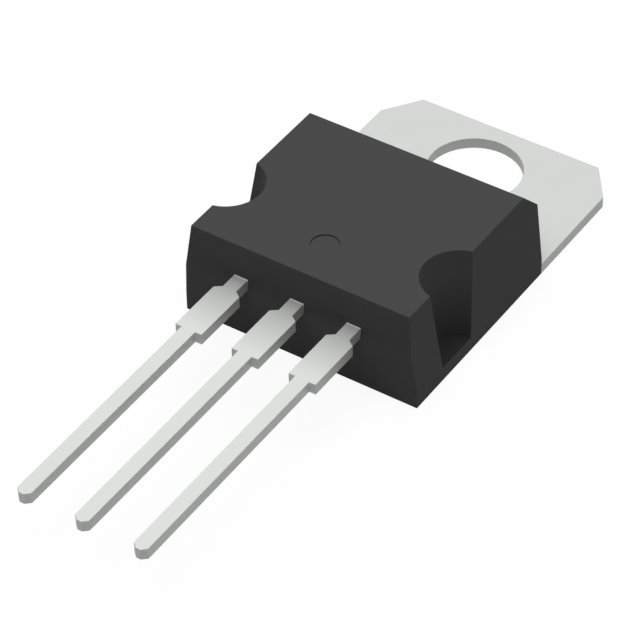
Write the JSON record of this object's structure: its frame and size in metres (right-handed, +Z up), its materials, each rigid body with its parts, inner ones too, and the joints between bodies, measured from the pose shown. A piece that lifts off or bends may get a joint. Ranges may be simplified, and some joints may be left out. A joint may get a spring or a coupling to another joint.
{
  "type": "triac",
  "caption": "Triac in a black moulded power package with a bare metal screw tab and a row of straight flat leads.",
  "frame": {"origin": "centre of the mounting hole, on the flat metal back of the tab", "axes": "+Z up out of the marked face of the moulding, +Y towards the end of the tab, leads run out along -Y, gate lead on the +X side"},
  "size_m": [0.0106, 0.0294, 0.0044],
  "materials": {
    "mould_compound": "matte black epoxy moulding compound",
    "tinned_copper": "matte tin plate on stamped copper",
    "solder": "dull soft solder",
    "silicon": "dark polished silicon",
    "bond_aluminium": "bright drawn wire"
  },
  "bodies": {
    "root": {"mould_body": "mould_compound", "tab_and_centre_lead": "tinned_copper", "a1_lead": "tinned_copper", "gate_lead": "tinned_copper", "chip_solder": "solder", "silicon_chip": "silicon", "a1_bond_wire": "bond_aluminium", "gate_bond_wire": "bond_aluminium"}
  },
  "joints": []
}
